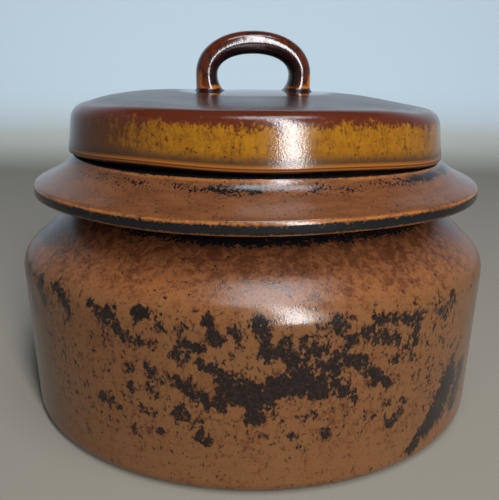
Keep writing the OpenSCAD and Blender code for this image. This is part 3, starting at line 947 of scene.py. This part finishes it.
# %% Make the handle's glaze
HANDLE_OXBLOOD = (0.058, 0.012, 0.005)
HANDLE_BLACK_AND_SHADE = (0.010, 0.004, 0.004)
HANDLE_AMBER = (0.28, 0.088, 0.006)
POOL_AND_SHADE_PULL, HANDLE_SKIN_DEPTH = 0.30, 0.14


def handle_glaze():
    """The handle's glaze: oxblood that goes black in runs and in painted shade, and amber where it is
    thin.
    """
    glaze = Glaze("handle_glaze")
    runs = glaze.noise(4.0, 4, 0.62, stretch=(1, 1, 1.8))
    fine = glaze.noise(1.2, 3, 0.6)
    dark = glaze.blend((runs, 0.9), (fine, 0.3), (glaze.painted("thick"), POOL_AND_SHADE_PULL))
    colour = glaze.mix(glaze.step(dark, 0.52, 0.80), HANDLE_OXBLOOD, HANDLE_BLACK_AND_SHADE)
    thin = glaze.wander(glaze.painted("thin"), runs, 1.6)
    colour = glaze.mix(glaze.step(thin, 0.25, 0.95), colour, HANDLE_AMBER)
    rough = glaze.step(runs, 0.3, 0.7, 0.10, 0.15)
    glaze.shader.inputs["IOR"].default_value = AMBER_IOR
    return glaze.coat(colour, rough, glaze.blend((runs, 0.7), (fine, 0.2)), HANDLE_SKIN_DEPTH)


handle.data.materials.append(handle_glaze())
print("handle glaze:", len(handle.data.materials[0].node_tree.nodes), "nodes")

# %% [markdown]
# ## The floor
# The floor is a wide pale dish that is turned like the pot, so the picture is plain from every
# side. Its flat part is a warm grey. Its far wall is cooler, and it glows faintly in what the
# camera sees and in what the glaze mirrors, without lighting the pot.

# %% Turn the pale dish
DISH_START, DISH_FLAT, DISH_ROUND, DISH_TOP = 400, 1500, 1300, 2600
DISH_STEPS, DISH_CURVE_POINTS, DISH_CURVE_START = 96, 24, 0.06

dish_line = [(0, 0), (DISH_START, 0), (DISH_FLAT, 0)]
dish_line += [(DISH_FLAT + DISH_ROUND * math.sin(a), DISH_ROUND * (1 - math.cos(a)))
              for a in np.linspace(DISH_CURVE_START, math.pi / 2, DISH_CURVE_POINTS)]
dish_line.append((DISH_FLAT + DISH_ROUND, DISH_TOP))
dish_points, dish_faces = turned(dish_line, DISH_STEPS, closed=False)
dish_faces = [face[::-1] for face in dish_faces]
dish = mesh_piece("dish", dish_points, dish_faces)

# %% Paint the dish
FLOOR_COLOUR = (0.205, 0.185, 0.150)
WALL_COLOUR = (0.215, 0.227, 0.235)
WALL_GLOW = (0.07, 0.08, 0.09, 1)
WALL_STARTS = (DISH_FLAT - 100, DISH_FLAT + 500)


def dish_paint():
    """Dull paint whose far wall glows for the camera and for mirrored rays only."""
    dull = Glaze("dish_paint")
    wall = dull.painted("wall")
    colour = dull.mix(wall, FLOOR_COLOUR, WALL_COLOUR)
    dull.tree.links.new(colour, dull.shader.inputs["Base Color"])
    dull.shader.inputs["Roughness"].default_value = 0.9
    dull.shader.inputs["Emission Color"].default_value = WALL_GLOW
    rays = dull.add("LightPath").outputs
    seen = dull.maths("MAXIMUM", rays["Is Camera Ray"], rays["Is Glossy Ray"])
    seen = dull.maths("MAXIMUM", seen, rays["Is Transmission Ray"])
    dull.tree.links.new(dull.times(seen, wall), dull.shader.inputs["Emission Strength"])
    return dull.material


paint(dish, "wall", smooth(*WALL_STARTS, np.hypot(dish_points[:, 0], dish_points[:, 1])))
dish.data.materials.append(dish_paint())

# %% [markdown]
# ## Light
# The main light is a tall narrow window to the right of the camera. A tall light draws the long
# highlight down the lid's wall, and its upper part draws the one on the shoulder. A weak light
# from above opens the shadows, and one behind the pot keeps the background pale, which is what
# the grazing surfaces of the lid and the handle mirror.

# %% Set the lights
POT_MIDDLE = (0, 0, 0.1)
WINDOW_WHITE, SKY_BLUE, BACK_BLUE = (0.97, 0.98, 1.0), (0.80, 0.91, 1.0), (0.70, 0.87, 1.0)


def soft_window(name, place, aim, size, watts, colour):
    """A flat soft light. Its place and its aim are (degrees from the front, distance, height)."""
    data = bpy.data.lights.new(name, "AREA")
    data.shape = "RECTANGLE"
    data.size, data.size_y = size
    data.energy = watts
    data.color = colour
    light = bpy.data.objects.new(name, data)
    bpy.context.scene.collection.objects.link(light)
    ends = []
    for azimuth, distance, up in (place, aim):
        a = math.radians(azimuth + FRONT)
        ends.append(Vector((distance * math.sin(a), -distance * math.cos(a), up)))
    light.location = ends[0]
    light.rotation_euler = (ends[1] - ends[0]).to_track_quat("-Z", "Y").to_euler()
    print(name, "at", [round(v, 2) for v in light.location])


soft_window("tall_window", (20, 1.3, 1.52), (0, 0, 1.52), (0.25, 2.7), 71, WINDOW_WHITE)
soft_window("top_light", (22, 0.45, 1.45), POT_MIDDLE, (0.75, 0.4), 10, SKY_BLUE)
soft_window("back_light", (180, 1.0, 1.1), (180, 2.8, 0.7), (2.2, 0.8), 72, BACK_BLUE)

# %% Set the faint light of the room
ROOM_COLOUR, ROOM_STRENGTH = (0.80, 0.90, 1.0, 1), 0.025

world = bpy.data.worlds.new("pale_room")
world.use_nodes = True
background = world.node_tree.nodes["Background"]
background.inputs["Color"].default_value = ROOM_COLOUR
background.inputs["Strength"].default_value = ROOM_STRENGTH
bpy.context.scene.world = world
bpy.context.scene.view_settings.view_transform = "Standard"
